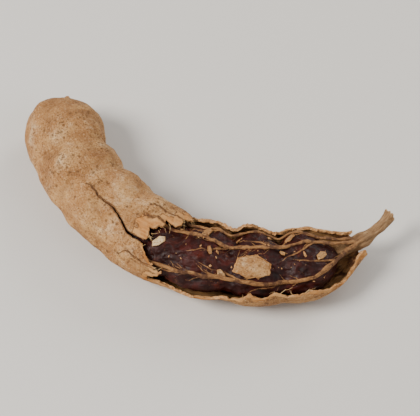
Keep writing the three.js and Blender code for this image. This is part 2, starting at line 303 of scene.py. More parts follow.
def pick(piece, kind, wanted):
    """Opens a piece for editing with only the wanted vertices, edges or faces selected."""
    only(piece)
    bpy.context.tool_settings.mesh_select_mode = [kind == each for each in ("VERT", "EDGE", "FACE")]
    parts = {"VERT": piece.data.vertices, "EDGE": piece.data.edges, "FACE": piece.data.polygons}
    for name, elements in parts.items():
        chosen = wanted if name == kind else np.zeros(len(elements), bool)
        elements.foreach_set("select", chosen)
    bpy.ops.object.mode_set(mode="EDIT")


def done():
    """Ends the editing that pick began."""
    bpy.ops.object.mode_set(mode="OBJECT")


def note(piece, **named):
    """Writes a number, or three, for each vertex, which the finishes read."""
    for name, values in named.items():
        kind, field = ("FLOAT_VECTOR", "vector") if np.ndim(values) == 2 else ("FLOAT", "value")
        attribute = piece.data.attributes.new(name, kind, "POINT")
        attribute.data.foreach_set(field, np.asarray(values, np.float32).ravel())


def read_note(piece, name):
    return read(piece.data.attributes[name].data, "value", 1, float)


def edge_ends(piece):
    return read(piece.data.edges, "vertices", 2)


def dress(piece, *materials):
    """Gives a piece its finishes, and smooth shading."""
    piece.data.materials.clear()
    for material in materials:
        piece.data.materials.append(material)
    for polygon in piece.data.polygons:
        polygon.use_smooth = True


# --- Sheets that are wrapped round the pod ---


def even_stations(first, last, count, radius_at):
    """Lengths along the pod that are evenly spaced over its surface, also round a blunt end."""
    fine = np.linspace(first, last, 6000)
    steps = np.hypot(np.diff(fine), np.diff(radius_at(fine)))
    reach = np.concatenate([[0], np.cumsum(steps)])
    return np.interp(np.linspace(0, reach[-1], count + 1), reach, fine)


def lay_flat(sheet, along, degrees):
    place(sheet, np.stack([along, degrees, np.zeros(len(along))], -1))


def flat_places(sheet):
    """How far along the pod each corner of a flat sheet is, and at what angle."""
    along, degrees, _ = coordinates(sheet).T.copy()
    return along, degrees


def squares(name, long, wide):
    """A flat sheet of squares, and how far each corner is along it and across it, from 0 to 1."""
    bpy.ops.mesh.primitive_grid_add(x_subdivisions=long, y_subdivisions=wide, size=2)
    piece = bpy.context.object
    piece.name = name
    points = (coordinates(piece) + 1) / 2
    return piece, points[:, 0], points[:, 1]


def flat_sheet(name, stations, sides):
    """A flat sheet: x is the length along the pod and y the angle round it, in degrees."""
    rings = len(stations) - 1
    piece, share, turn = squares(name, rings, sides)
    along = np.interp(share * rings, np.arange(rings + 1), stations)
    lay_flat(piece, along, UNDERSIDE + 360 * turn)
    return piece


def close_seams(piece):
    pick(piece, "VERT", np.ones(len(piece.data.vertices), bool))
    bpy.ops.mesh.remove_doubles(threshold=SEAM_REACH * MM)
    done()


def join(name, pieces):
    only(pieces[0])
    for piece in pieces:
        piece.select_set(True)
    bpy.ops.object.join()
    pieces[0].name = name
    return pieces[0]


# --- The broken opening ---


def opening_start(angle):
    """How far along the pod the opening starts: a jagged line with sharp notches."""
    fine = 1.6 * notch(angle * 11.3, 62) + 0.9 * notch(angle * 29, 63)
    return OPENING_START + 10 * jag(angle * 2.3 + 0.4, 3) + 3.5 * jag(angle * 6.1, 8) + fine


def opening_sides(along):
    """The opening's two long edges: broad jags and small sharp notches, in degrees."""
    near = OPENING_NEAR + 30 * jag(along / 7.5, 5) + 13 * jag(along / 2.9, 6)
    far = OPENING_FAR + 30 * jag(along / 8.3 + 0.3, 11) + 12 * jag(along / 3.1, 12)
    uneven = along + 1.3 * np.sin(0.83 * along) + 0.5 * np.sin(2.1 * along + 1)
    near = near + 10 * notch(uneven / 2.9, 64) + 5 * notch(uneven / 1.2, 65)
    far = far + 10 * notch(uneven / 3.1, 66) + 5 * notch(uneven / 1.3, 67)
    return np.radians(near), np.radians(far)


def broken_depth(along, degrees):
    """How far inside the broken opening a place is, in millimetres, and below 0 where shell is left."""
    angle = np.radians(degrees)
    near, far = opening_sides(along)
    start_near, start_far = opening_sides(np.full_like(along, OPENING_START))
    turn = clamp((angle - near) / (far - near))
    start = opening_start(mix(start_near, start_far, turn))
    radius = 0.5 * (OUTER_HALF + HALF_THICK) * smooth((POD_LENGTH + 9 - along) / 26)
    inside = np.minimum(np.minimum(angle - near, far - angle) * radius, along - start)
    neck_end = POD_LENGTH - 0.9 * (0.5 + jag(angle * 3.7, 68)) - 0.5 * (0.5 + jag(angle * 9.1, 69))
    return np.maximum(inside, along - neck_end)


def snap_to_break(along, degrees):
    """Slides places that are near the broken edge onto it."""
    step_along, step_round, furthest = 0.05, 0.25, 0.22
    scale = 25.0  # square degrees to a square millimetre, on the pod's skin
    for _ in range(4):
        depth = broken_depth(along, degrees)
        slope_along = (broken_depth(along + step_along, degrees) - depth) / step_along
        slope_round = (broken_depth(along, degrees + step_round) - depth) / step_round
        steep = slope_along**2 + slope_round**2 * scale + 1e-9
        move = np.clip(depth / np.sqrt(steep), -furthest, furthest) / np.sqrt(steep)
        along = along - move * slope_along
        degrees = degrees - move * slope_round * scale
    return along, degrees


# Cracks that run from the opening towards the tip: the angle where one leaves the opening, its length,
# how far it leans, its seed and half its width at the opening.
CRACKS = [
    (34, 9, -10, 71, 0.16),
    (142, 10, 12, 73, 0.18),
    (92, 7, 6, 72, 0.15),
    (118, 13, -14, 24, 0.34),
    (62, 25, 12, 21, 0.38),
]
BENT_ROWS = 34.0  # rows of squares within so many degrees of a crack are bent with it


def crack_start(crack):
    return opening_start(math.radians(crack[0])) + 2


def crack_angle(crack, along):
    """The angle at which a crack runs, in degrees, at each length along the pod."""
    leaves, length, lean, seed, _ = crack
    share = clamp((crack_start(crack) - along) / length)
    return leaves + lean * share + 16 * jag(share * 5.3, seed) + 3.5 * jag(share * 19, seed + 1)


def line_of_row(row, along, angle, rows_at):
    """Where a row of squares now runs: its angle at each length along the pod."""
    on_row = np.abs(rows_at - row) < 0.01
    order = np.argsort(along[on_row])
    return np.interp(along, along[on_row][order], angle[on_row][order])


def cut_cracks(sheet):
    """Bends rows of the flat sheet's squares to follow the cracks, and splits the sheet along them."""
    along, rows_at = flat_places(sheet)
    angle = rows_at.copy()
    rows = []
    slit = np.zeros(len(sheet.data.edges), bool)
    ends = edge_ends(sheet)
    for crack in CRACKS:
        start, length = crack_start(crack), crack[1]
        middle = crack_angle(crack, np.array([start - length / 2]))[0]
        row = rows_at[np.abs(rows_at - middle).argmin()]
        now = line_of_row(row, along, angle, rows_at)
        near = clamp(1 - np.abs(angle - now) / BENT_ROWS)
        fade = smooth((along - (start - length - 5)) / 5) * smooth((start + 6 - along) / 4)
        angle = angle + (crack_angle(crack, along) - now) * near * fade
        on_crack = (np.abs(rows_at - row) < 0.01) & (along > start - length) & (along < start + 1.5)
        slit |= on_crack[ends].all(1)
        rows.append(row)
    lay_flat(sheet, along, angle)
    note(sheet, row=rows_at)
    pick(sheet, "EDGE", slit)
    bpy.ops.mesh.edge_split(type="EDGE")
    done()
    return rows


def corners_of_faces(piece):
    """Every face's corners in one list, and the face that each of them belongs to."""
    counts = read(piece.data.polygons, "loop_total")
    return read(piece.data.loops, "vertex_index"), np.repeat(np.arange(len(counts)), counts)


def mean_of_faces(piece, values):
    """For each corner, the mean of a value over the corners of the faces that it belongs to."""
    corners, owner = corners_of_faces(piece)
    of_face = np.bincount(owner, weights=values[corners]) / np.bincount(owner)
    size = len(piece.data.vertices)
    count = np.maximum(np.bincount(corners, minlength=size), 1)
    return np.bincount(corners, weights=of_face[owner], minlength=size) / count


def open_cracks(sheet, rows):
    """Parts the sides of the cracks. Returns how near each corner is to one, and how far it sinks."""
    along, angle = flat_places(sheet)
    rows_at = read_note(sheet, "row")
    of_faces = mean_of_faces(sheet, rows_at)
    near_crack = np.zeros(len(along))
    sunk = np.zeros(len(along))
    moved = angle.copy()
    for crack, row in zip(CRACKS, rows):
        start, length, half_width = crack_start(crack), crack[1], crack[4]
        off_row = rows_at - row
        side = np.where(np.abs(off_row) > 0.01, np.sign(off_row), np.sign(of_faces - row))
        away = angle - line_of_row(row, along, angle, rows_at)
        share = (start - along) / length
        wide = clamp(1 - share) * (share > -0.3)
        from_line = np.abs(away) * math.radians(1) * HALF_THICK
        moved += np.degrees(side * half_width * wide * np.exp(-from_line / 1.3) / HALF_THICK)
        near_crack = np.maximum(near_crack, np.exp(-from_line / 0.7) * (wide > 0))
        ledge = np.exp(-from_line / 3.5) * wide**0.7 * half_width
        sunk += ledge * np.where(side > 0, 1.1, 0.2)
    lay_flat(sheet, along, moved)
    return near_crack, sunk


# --- The shell ---


def shell_relief(places, along, angle):
    """How far the skin stands out from the smooth pod. Each part is a height in millimetres."""
    lumps = 0.34 * grain(places, 9.0, 2)
    dents = 0.16 * grain(places + 40, 3.1, 3)
    rough = 0.05 * grain(places + 80, 1.1, 2)
    inner_side = clamp(-np.cos(angle) * 1.4)
    folds = 0.16 * waist(along) * inner_side * np.sin(3.6 * along + 3 * dents / 0.16)
    ribs = 0.05 * np.sin(9 * angle + 0.06 * along + 4 * lumps / 0.34)
    return lumps + dents + rough + folds + ribs - SKIN_SUNK


def peeled_reach(places, along):
    """How far from the broken edge the outermost skin has come off: furthest where the opening starts."""
    patches = clamp(0.45 + 1.5 * grain(places + 300, 7.0, 2))
    flecks = clamp(0.4 + 1.3 * grain(places + 340, 2.6, 2))
    return 0.5 + 2.2 * flecks + 6.5 * patches * smooth(1.6 - np.abs(along - OPENING_START) / 9.0)


def shell_sheet():
    stations = even_stations(
        0.0, POD_LENGTH, SHELL_RINGS, lambda along: section(along, np.pi / 2, 0.0)[1]
    )
    sheet = flat_sheet("broken_shell", stations, SHELL_SIDES)
    rows = cut_cracks(sheet)
    near_crack, sunk = open_cracks(sheet, rows)
    middles = read(sheet.data.polygons, "center", 3, float)
    note(sheet, near_crack=near_crack, sunk=sunk)
    delete_squares(sheet, broken_depth(middles[:, 0], middles[:, 1]) > 0)
    clear_pinched_corners(sheet)
    return sheet


def delete_squares(sheet, wanted):
    pick(sheet, "FACE", wanted)
    bpy.ops.mesh.delete(type="FACE")
    done()


def clear_pinched_corners(sheet):
    """Deletes the squares round a corner where two parts of the broken edge touch."""
    for _ in range(3):
        corners, owner = corners_of_faces(sheet)
        pinched = open_edges_at_corners(sheet) > 2
        delete_squares(sheet, np.bincount(owner, weights=pinched[corners]) > 0)


def open_edges_at_corners(piece):
    """How many open edges meet at each corner."""
    count = np.bincount(read(piece.data.loops, "edge_index"), minlength=len(piece.data.edges))
    return np.bincount(edge_ends(piece)[count == 1].ravel(), minlength=len(piece.data.vertices))


def broken_rim(sheet, along, degrees):
    """Which corners lie on the broken edge and not on the seam of the sheet's two long edges."""
    rim = (open_edges_at_corners(sheet) > 0) & (broken_depth(along, degrees) > -1.2)
    off_seam = (degrees > UNDERSIDE + 0.01) & (degrees < UNDERSIDE + 359.99)
    return rim & (off_seam | (along > POD_LENGTH - 3))


def shell_inset(places, angle, behind, relief, sunk):
    """How far the skin lies inside the smooth pod: sunk at cracks, crumbled and bent at the break."""
    flaked = clamp(0.5 + 1.6 * grain(places + 120, 1.3, 2)) * np.exp(behind / 0.45)
    flap = 0.5 * grain(places + 200, 7.0, 2) * np.exp(behind / 2.0)
    lumps = relief * tip_share(places[:, 0])
    return -lumps + sunk + 0.4 * flaked + flap * smooth(np.sin(angle) + 0.6)


def weigh_wall(sheet, places):
    """Makes the wall's thickness a little uneven, and the wall thinner at the beak."""
    thin = clamp(0.25 + 1.4 * (tip_share(places[:, 0]) - 0.12))
    thin *= 0.8 + 0.2 * grain(places + 60, 2.6, 2)
    wall = sheet.vertex_groups.new(name="wall")
    for index, share in enumerate(thin):
        wall.add([index], float(share), "REPLACE")


def make_shell():
    sheet = shell_sheet()
    along, degrees = flat_places(sheet)
    rim = broken_rim(sheet, along, degrees)
    along[rim], degrees[rim] = snap_to_break(along[rim], degrees[rim])
    degrees = np.clip(degrees, UNDERSIDE, UNDERSIDE + 360)
    angle = np.radians(degrees)
    straight = straightened(along, angle)
    behind = np.minimum(broken_depth(along, degrees), 0)
    relief = shell_relief(straight, along, angle)
    inset = shell_inset(straight, angle, behind, relief, read_note(sheet, "sunk"))
    skin = pod_point(along, angle, inset) + SHIFT
    skin[:, 2] = np.maximum(skin[:, 2], 0.0)
    near_break = np.exp(behind / peeled_reach(straight, along))
    note(sheet, pod_place=straight, near_break=near_break, height=relief + SKIN_SUNK)
    place(sheet, skin * MM)
    weigh_wall(sheet, straight)
    close_seams(sheet)
    clear_pinched_corners(sheet)
    add_wall(sheet, SHELL_WALL, vertex_group="wall", use_quality_normals=True)
    sheet.vertex_groups.clear()
    roughen_broken_edge(sheet)
    return sheet


def add_wall(piece, thickness, **settings):
    """Gives a skin its wall, inwards. The inside and the broken edge have finishes of their own."""
    dress(piece, shell_skin(), shell_inside(), broken_edge())
    only(piece)
    wall = piece.modifiers.new("wall", "SOLIDIFY")
    wall.thickness = thickness * MM
    wall.offset = -1
    wall.material_offset = 1
    wall.material_offset_rim = BROKEN_SLOT
    for name, value in settings.items():
        setattr(wall, name, value)
    bpy.ops.object.modifier_apply(modifier="wall")


def broken_faces_at_edges(piece):
    """How many faces of the broken edge meet at each edge of the mesh."""
    _, owner = corners_of_faces(piece)
    broken = read(piece.data.polygons, "material_index")[owner] == BROKEN_SLOT
    sides = read(piece.data.loops, "edge_index")
    return np.bincount(sides, weights=broken, minlength=len(piece.data.edges))


def roughen_broken_edge(sheet):
    """Cuts the broken edge into layers, moves the middle ones in and out, and keeps its rims crisp."""
    before = len(sheet.data.vertices)
    pick(sheet, "EDGE", broken_faces_at_edges(sheet) == 2)
    bpy.ops.mesh.subdivide(number_cuts=EDGE_LAYERS - 1)
    done()
    points = coordinates(sheet)
    places = points[before:] / MM
    points[before:] += 0.24 * MM * stray(places, 0.9, 3, (5, 25, 45))
    points[:, 2] = np.maximum(points[:, 2], 0)
    place(sheet, points)
    sheet.data.edges.foreach_set("use_edge_sharp", broken_faces_at_edges(sheet) == 1)


# --- The pulp ---


def make_pulp():
    stations = even_stations(PULP_START, PULP_END, PULP_RINGS, pulp_radius)
    piece = flat_sheet("pulp_flesh", stations, PULP_SIDES)
    along, degrees = flat_places(piece)
    angle = np.radians(degrees)
    straight = straightened(along, angle, PULP_INSET, PULP_WAIST)
    wrinkled = pulp_relief(straight, along, angle)
    note(piece, pod_place=straight, height=wrinkled)
    place(piece, (pulp_point(along, angle, wrinkled) + SHIFT) * MM)
    close_seams(piece)
    dress(piece, pulp_flesh())
    return piece


def pulp_point(along, angle, raised):
    """Points that stand out from the smooth pulp by so many millimetres."""
    outer = pod_point(along, 0 * angle, 0.0, 0.0)
    inner = pod_point(along, 0 * angle + np.pi, 0.0, 0.0)
    middle = (outer + inner) / 2
    skin = pod_point(along, angle, PULP_INSET - raised, PULP_WAIST)
    return middle + (skin - middle) * pulp_rounding(along)[:, None]


def on_pulp(along, angle, raised):
    """Points that stand out from the wrinkled pulp by so many millimetres."""
    straight = straightened(along, angle, PULP_INSET, PULP_WAIST)
    return pulp_point(along, angle, pulp_relief(straight, along, angle) + raised)


def pulp_rounding(along):
    from_ends = ((along - PULP_START) / PULP_ROUNDING, (PULP_END - along) / PULP_ROUNDING)
    return math.prod(np.sqrt(1 - (1 - clamp(each)) ** 2) for each in from_ends)


def pulp_radius(along):
    return 6.5 * pulp_rounding(along)


def pulp_relief(places, along, angle):
    """The wrinkles of the drying flesh, which pull together towards the furrows between the seeds."""
    stretched = places * np.array([0.7, 1.0, 1.0])
    wander = stray(stretched, 4.0, 2, (3, 13, 23))
    folds = 1 - 2.2 * np.abs(grain(stretched + 1.6 * wander, 3.4, 2))
    creases = 1 - 2.4 * np.abs(grain(stretched + 0.8 * wander + 60, 1.7, 2))
    fine = 1 - 2.0 * np.abs(grain(places + 0.3 * wander + 140, 0.85, 1))
    lumps = grain(places + 90, 6.0, 2)
    return 0.27 * folds + 0.2 * creases + 0.06 * fine + 0.35 * lumps - 0.05 + string_bed(along, angle)


# --- Strings and stalk ---

# The main strings: the angle of each at its thin end, over the middle of the opening and at the stalk,
# and how far along the pod its thin end is.
MAIN_STRINGS = [
    ((40, 30, 62), 24),
    ((84, 101, 92), 34),
    ((128, 141, 122), 20),
]
STRING_RADIUS = 0.44
FIBRE_WIDE = 1.2
FIBRE_HIGH = 0.72
CORE_DROP = 3.0  # strings are flattened towards a line this far below the pod's axis
ON_STALK = (-1.9, 6.5)  # from where to where strings run over the stalk, past the pod's end
WOODY_MIDDLE = 4.0  # strings look like bark near this place on the stalk, past the pod's end
STRING_SIDES = 20
HAIR_SIDES = 6

# Veins over the pulp: the string that one leaves, where, how far it runs and how far it turns.
VEINS = [
    (0, 112, -12, 24),
    (0, 101, -13, -26),
    (0, 88, -12, 28),
    (0, 74, -9, -24),
    (1, 108, -11, -22),
    (1, 97, -12, 22),
    (1, 84, -11, -22),
    (1, 76, -12, 20),
    (2, 106, -12, -20),
    (2, 94, -11, 22),
    (2, 81, -13, -22),
]
VEIN_RADIUS = 0.24
STALK_ROOT = -9.0
STALK_RINGS = 150
STALK_SIDES = 64
CUT_FACE = 0.92  # the share of the stalk's sheet at which its side ends and its snapped face begins
HAIRS = 84
WHISKERS = 36
TORN_ENDS = 64


def string_angle(main, along):
    """Where a main string runs, as an angle round the pod, in radians."""
    (at_thin_end, over_middle, at_stalk), reach = MAIN_STRINGS[main]
    middle = 92
    first = mix(at_thin_end, over_middle, smooth((along - reach) / (middle - reach)))
    last = mix(over_middle, at_stalk, smooth((along - middle) / (POD_LENGTH - middle)))
    angle = np.where(along < middle, first, last)
    return np.radians(angle + 5 * np.sin(0.17 * along + 2 * main))


def string_bed(along, angle):
    """The flesh rises a little where a string lies on it, and under the loose chip."""
    rise = np.zeros(len(along))
    for main in range(len(MAIN_STRINGS)):
        away = (angle - string_angle(main, along)) * FLESH_ROUND
        rise = np.maximum(rise, 0.2 * bell(away / 0.9) * smooth((along - 40) / 10))
    from_chip = np.hypot(along - CHIP_PLACE, (angle - math.radians(CHIP_ANGLE)) * FLESH_ROUND)
    return rise + 0.2 * bell(from_chip / 3.4)


def stalk_middle(past):
    """Points on the stalk's middle line, at lengths past the end of the pod."""
    along = POD_LENGTH + past
    bend = 0.012 * np.maximum(past, 0) ** 2
    x, y = on_curve(along)
    return np.stack([x - bend, y, axis_height(np.minimum(along, POD_LENGTH)) + 0.9 * bend], -1)


def stalk_radius(past):
    """The stalk is thicker where it leaves the pod, and at its far end."""
    return STALK_RADIUS + 0.75 * bell((past - 0.5) / 3) + 0.55 * bell((past - STALK_LENGTH) / 2)


def round_stalk(past, angle, radius):
    """Points at an angle round the stalk, at a radius from its middle line."""
    turn = heading(POD_LENGTH)
    points = stalk_middle(past)
    points[:, 0] += np.sin(turn) * radius * np.cos(angle)
    points[:, 1] -= np.cos(turn) * radius * np.cos(angle)
    points[:, 2] += radius * np.sin(angle)
    return points


def main_string(main):
    """A main string's route over the flesh and up the stalk, and its radius at each point."""
    reach = MAIN_STRINGS[main][1]
    along = np.arange(reach, POD_LENGTH - 2.5, 0.42)
    sway = 0.12 * np.sin(1.1 * along + 3 * main)
    angle = string_angle(main, along) + 0.035 * grain_along(along, 2.6, main)
    points = pod_point(along, angle, STRING_INSET + 0.22 + sway)
    points = further_out(points, on_pulp(along, angle, 0.16))
    share = np.linspace(0, 1, 18)
    past = mix(*ON_STALK, share)
    above = mix(0.2, -0.75, smooth(share))
    on_stalk = round_stalk(past, string_angle(main, POD_LENGTH), stalk_radius(past) + above)
    points = np.concatenate([points, on_stalk])
    count = np.arange(len(points))
    radii = STRING_RADIUS * (1 + 0.45 * grain_along(count, 9.0, 30 + main))
    return points, radii * mix(0.35, 1.0, smooth(count / 60))


def further_out(first, second):
    """Of each two points, the one that is further from the pod's middle line."""
    middle = pod_middle(first)
    past = np.linalg.norm(second - middle, axis=1) > np.linalg.norm(first - middle, axis=1)
    return np.where(past[:, None], second, first)


def grain_along(along, size, seed):
    """Noise from about -1 to 1 along a line."""
    places = np.stack([along, np.full(len(along), 7.3 * seed), np.full(len(along), 1.7)], -1)
    return grain(places, size, 2)


def branch(main, start, run, turn, radius, seed, looseness=0.1):
    """A vein that leaves a main string and sinks into the flesh."""
    steps = max(8, int(np.hypot(run, turn * 0.16) / 0.4))
    share = np.linspace(0, 1, steps)
    along = start + run * share + 5 * looseness * share * grain_along(run * share, 3.0, seed + 90)
    angle = string_angle(main, np.array([start]))[0] + np.radians(turn) * share**0.8
    angle = angle + looseness * share * grain_along(run * share, 2.6, seed)
    radii = radius * mix(1.0, 0.3, share**1.5) * (1 + 0.35 * grain_along(along, 1.6, seed + 50))
    sunk = smooth(3 * share)[:, None]
    above = pod_point(along, angle, STRING_INSET + 0.3)
    points = above * (1 - sunk) + on_pulp(along, angle, 0.3 * radii - 0.1 * share) * sunk
    return points, radii


def hairs():
    """Fine fibres that stray from the strings over the flesh."""
    routes = []
    for count in range(HAIRS):
        start = draw(70.0, 119.0, count, 51)
        run = -draw(2.0, 10.0, count, 52, 1.4)
        turn = draw(4.0, 26.0, count, 53) * (1 if scatter(count, 54) > 0.5 else -1)
        radius = draw(0.06, 0.14, count, 55, 2)
        routes.append(branch(count % 3, start, run, turn, radius, count, 0.26))
    return routes


def whiskers():
    """Short torn fibres that curl out of the broken edge."""
    routes = []
    share = np.linspace(0, 1, 10)
    for count in range(WHISKERS):
        along = np.array([draw(70.0, 115.0, count, 81)])
        near, far = opening_sides(along)
        edge, inwards = (far, -1) if scatter(count, 82) > 0.5 else (near, 1)
        length = draw(0.7, 3.6, count, 83, 2)
        waver = 0.9 * share * grain_along(share * length, 0.9, count + 300)
        run = length * (scatter(count, 84) - 0.5) * 2.2 * share**1.4 + waver
        turn = inwards * length * draw(0.15, 0.8, count, 85) / EDGE_ROUND
        curl = 0.9 * length * np.sin(2.6 * share * scatter(count, 88))
        angle = edge + turn * share - 0.05 * inwards + 0.08 * waver
        inset = 0.8 + curl * (scatter(count, 86) - 0.5) * share + 0.7 * waver
        points = pod_point(along + run, angle, np.maximum(inset, -0.3))
        routes.append((points, draw(0.06, 0.11, count, 87) * mix(1.0, 0.35, share)))
    return routes


def torn_ends():
    """Fine fibres that were torn across where the opening starts."""
    routes = []
    share = np.linspace(0, 1, 12)
    for count in range(TORN_ENDS):
        angle = np.radians(draw(OPENING_NEAR + 6, OPENING_FAR - 6, count, 111))
        length = draw(0.5, 3.2, count, 112, 2)
        along = opening_start(angle) - 0.4 + length * share * (1 - 0.35 * share)
        bent = 1.5 * length * (scatter(count, 113) - 0.5) * share**1.6 / EDGE_ROUND
        inset = 0.75 + length * draw(-0.15, 0.9, count, 114) * share**1.5
        waver = 0.5 * share * grain_along(share * length, 0.8, count + 200)
        points = pod_point(along, angle + bent + 0.1 * waver, np.clip(inset + waver, 0.3, STRING_INSET))
        routes.append((points, draw(0.04, 0.09, count, 115) * mix(1.0, 0.4, share)))
    return routes


def fibre(route, sides):
    """A string, flattened against the flesh below it, with fine ridges along it."""
    points, radii = route
    piece, share, turn = squares("fibre", len(points) - 1, sides)
    ring = np.rint(share * (len(points) - 1)).astype(int)
    ahead = np.gradient(points, axis=0)
    ahead /= np.linalg.norm(ahead, axis=1)[:, None]
    length = np.concatenate([[0], np.cumsum(np.linalg.norm(np.diff(points, axis=0), axis=1))])
    middle = pod_middle(points)
    outwards = points - middle
    across = np.cross(ahead, outwards)
    across /= np.linalg.norm(across, axis=1)[:, None] + 1e-9
    outwards = np.cross(across, ahead)
    angle = 2 * np.pi * turn
    here = length[ring]
    grooves = 0.1 * np.sin(3 * angle + 0.8 * here) + 0.08 * np.sin(6 * angle - 0.5 * here)
    ends = np.minimum(here, length[-1] - here)
    radius = radii[ring] * (1 + grooves) * np.sqrt(clamp(ends / 0.3))
    wide, high = radius * FIBRE_WIDE * np.cos(angle), radius * FIBRE_HIGH * np.sin(angle)
    skin = points[ring] + wide[:, None] * across[ring] + high[:, None] * outwards[ring]
    from_stalk = np.linalg.norm(points - stalk_middle(np.array([WOODY_MIDDLE])), axis=1)
    woody = smooth((8.5 - from_stalk[ring]) / 6)
    note(piece, pod_place=np.stack([here, wide, high], -1), woody=woody)
    place(piece, (skin + SHIFT) * MM)
    close_seams(piece)
    return piece


def pod_middle(points):
    """For each point, the point of the pod's middle line that it is nearest to."""
    line = np.stack([curve_x, curve_y], -1)
    nearest = ((points[:, None, :2] - line[None]) ** 2).sum(-1).argmin(1)
    height = axis_height(np.clip(curve_along[nearest], 0, POD_LENGTH)) - CORE_DROP
    return np.concatenate([line[nearest], height[:, None]], 1)


def make_strings():
    routes = [main_string(main) for main in range(len(MAIN_STRINGS))]
    routes += [branch(*each, VEIN_RADIUS, seed) for seed, each in enumerate(VEINS)]
    pieces = [fibre(each, STRING_SIDES) for each in routes]
    strings = join("strings", pieces + [fibre(each, HAIR_SIDES) for each in hairs()])
    dress(strings, string_fibre())
    return strings


def make_torn_fibres():
    torn = join("torn_fibres", [fibre(each, HAIR_SIDES) for each in whiskers() + torn_ends()])
    dress(torn, torn_fibre())
    return torn


def make_stalk():
    """The stalk: its root runs into the flesh, and its far end is snapped off."""
    root, end = STALK_ROOT, STALK_LENGTH - 0.7
    piece, share, turn = squares("stalk", STALK_RINGS, STALK_SIDES)
    angle = 2 * np.pi * turn
    inwards = clamp((share - CUT_FACE) / (1 - CUT_FACE))
    past = mix(root, end, clamp(share / CUT_FACE))
    sunk = (past - root) / (end - root)
    radius = stalk_radius(past) * np.sqrt(clamp(0.25 + 5 * sunk))
    ridges = 0.09 * np.sin(7 * angle + 0.5 * past) + 0.05 * np.sin(17 * angle - 0.8 * past)
    places = np.stack([past * 0.35, radius * np.cos(angle), radius * np.sin(angle)], -1)
    radius = radius * (1 + 0.08 * np.sin(3 * angle + past)) + ridges + 0.1 * grain(places, 1.2, 3)
    radius = np.where(share < 0.001, 0, radius * (1 - inwards) ** 0.8)
    face = np.stack([radius * np.cos(angle), radius * np.sin(angle), 0 * radius], -1)
    splinters = 0.5 * grain(face + 9, 0.55, 3)
    splinters = splinters + 0.45 * notch(13 * np.abs(2 * turn - 1), 31) * (1 - inwards)
    past = past + splinters * smooth((share - 0.88) / 0.04) * np.sqrt(1 - inwards)
    own = np.stack([past, radius * np.cos(angle), radius * np.sin(angle)], -1)
    note(piece, pod_place=own, snapped=smooth((share - 0.9) / 0.03))
    place(piece, (round_stalk(past, angle, radius) + SHIFT) * MM)
    close_seams(piece)
    dress(piece, stalk_bark())
    return piece


# --- Chips of shell ---

# How many squares each way a chip is made of.
CHIP_SQUARES = 36
BIT_SQUARES = 14
FLAKE_SQUARES = 18

# The loose chip's lower and upper edge: millimetres along the pod and round it, from its middle.
CHIP_LOWER = [(-4.7, -1.5), (-0.6, -2.9), (4.3, -2.2)]
CHIP_UPPER = [(-3.5, 1.7), (1.6, 2.5), (5.1, 0.6)]

# Smaller bits that are stuck to the flesh: the place along the pod, the angle, the size as a share of
# the loose chip's, how far it is turned in degrees, and the seed. The flake is given in the same way.
BITS = [
    (76.5, 113, 0.42, 70, 91),
    (101.5, 121, 0.36, 200, 92),
    (83.0, 44, 0.3, 130, 93),
    (108.5, 76, 0.34, 20, 94),
    (95.5, 128, 0.22, 250, 95),
    (79.0, 84, 0.2, 310, 96),
    (98.5, 91, 0.17, 160, 97),
    (86.0, 120, 0.15, 40, 98),
]
FLAKE = (65.6, 71, 0.36, 50, 99)
CRUMBS = 66


def chip_outline(share, turn, size, lean, seed):
    """Places on a chip, in millimetres along the pod and round it, with its edges finely jagged."""
    corners = np.linspace(0, 1, len(CHIP_LOWER))
    edges = []
    for edge, shift in ((CHIP_LOWER, 0), (CHIP_UPPER, 5)):
        along, round_pod = np.array(edge).T
        uneven = 0.5 * notch(share * 9, seed + shift)
        edges.append((np.interp(share, corners, along), np.interp(share, corners, round_pod) + uneven))
    (low_x, low_y), (high_x, high_y) = edges
    ragged = 0.6 * notch(turn * 6, seed + 9) * np.abs(2 * share - 1)
    x, y = mix(low_x, high_x, turn) + ragged, mix(low_y, high_y, turn)
    return rotated(size * x, size * y, math.radians(lean))


def on_loose_chip(along, angle, raised):
    """The loose chip follows the curve of the shell that it came from."""
    return pod_point(along, angle, CHIP_INSET - raised)


def on_small_bit(along, angle, raised):
    """A small bit keeps its own form and lies at the height of the flesh below it."""
    flat = pulp_point(along, angle, 0.75 + raised)
    return flat + (on_pulp(along, angle, 0.0) - pulp_point(along, angle, 0.25)).mean(0)


def make_chip(name, chip, surface, thickness, count):
    """A curled chip of so many squares each way, laid on a surface."""
    along, degrees, size, lean, seed = chip
    piece, share, turn = squares(name, count, count)
    x, y = chip_outline(share, turn, size, lean, seed)
    edge = np.minimum(np.minimum(share, 1 - share), np.minimum(turn, 1 - turn))
    along = along + x
    angle = math.radians(degrees) + y / CHIP_ROUND
    straight = straightened(along, angle)
    uneven = 0.13 * grain(straight + seed, 2.4, 3) - 0.12 * np.exp(-edge / 0.04)
    curl = 0.12 * size * ((2 * share - 1) ** 2 + (2 * turn - 1) ** 2)
    skin = surface(along, angle, uneven + curl) + SHIFT
    near_break = np.exp(-edge * (13 + 9 * grain(straight + 30, 2.0 * size, 2)))
    note(piece, pod_place=straight, near_break=near_break, near_crack=0 * along, height=uneven)
    place(piece, skin * MM)
    add_wall(piece, thickness)
    return piece


def make_chips():
    loose = (CHIP_PLACE, CHIP_ANGLE, 1.0, 0, 41)
    chips = [make_chip("loose_chip", loose, on_loose_chip, 1.0, CHIP_SQUARES)]
    for count, bit in enumerate(BITS):
        thickness = min(0.7, 1.9 * bit[2])
        chips.append(make_chip(f"shell_bit_{count + 1}", bit, on_small_bit, thickness, BIT_SQUARES))
    return chips


def make_flake():
    """A curled flake of the shell's pale lining, stuck to the flesh where the opening starts."""
    flake = make_chip("pale_flake", FLAKE, on_small_bit, 0.4, FLAKE_SQUARES)
    dress(flake, pale_lining(), pale_lining(), pale_lining())
    return flake


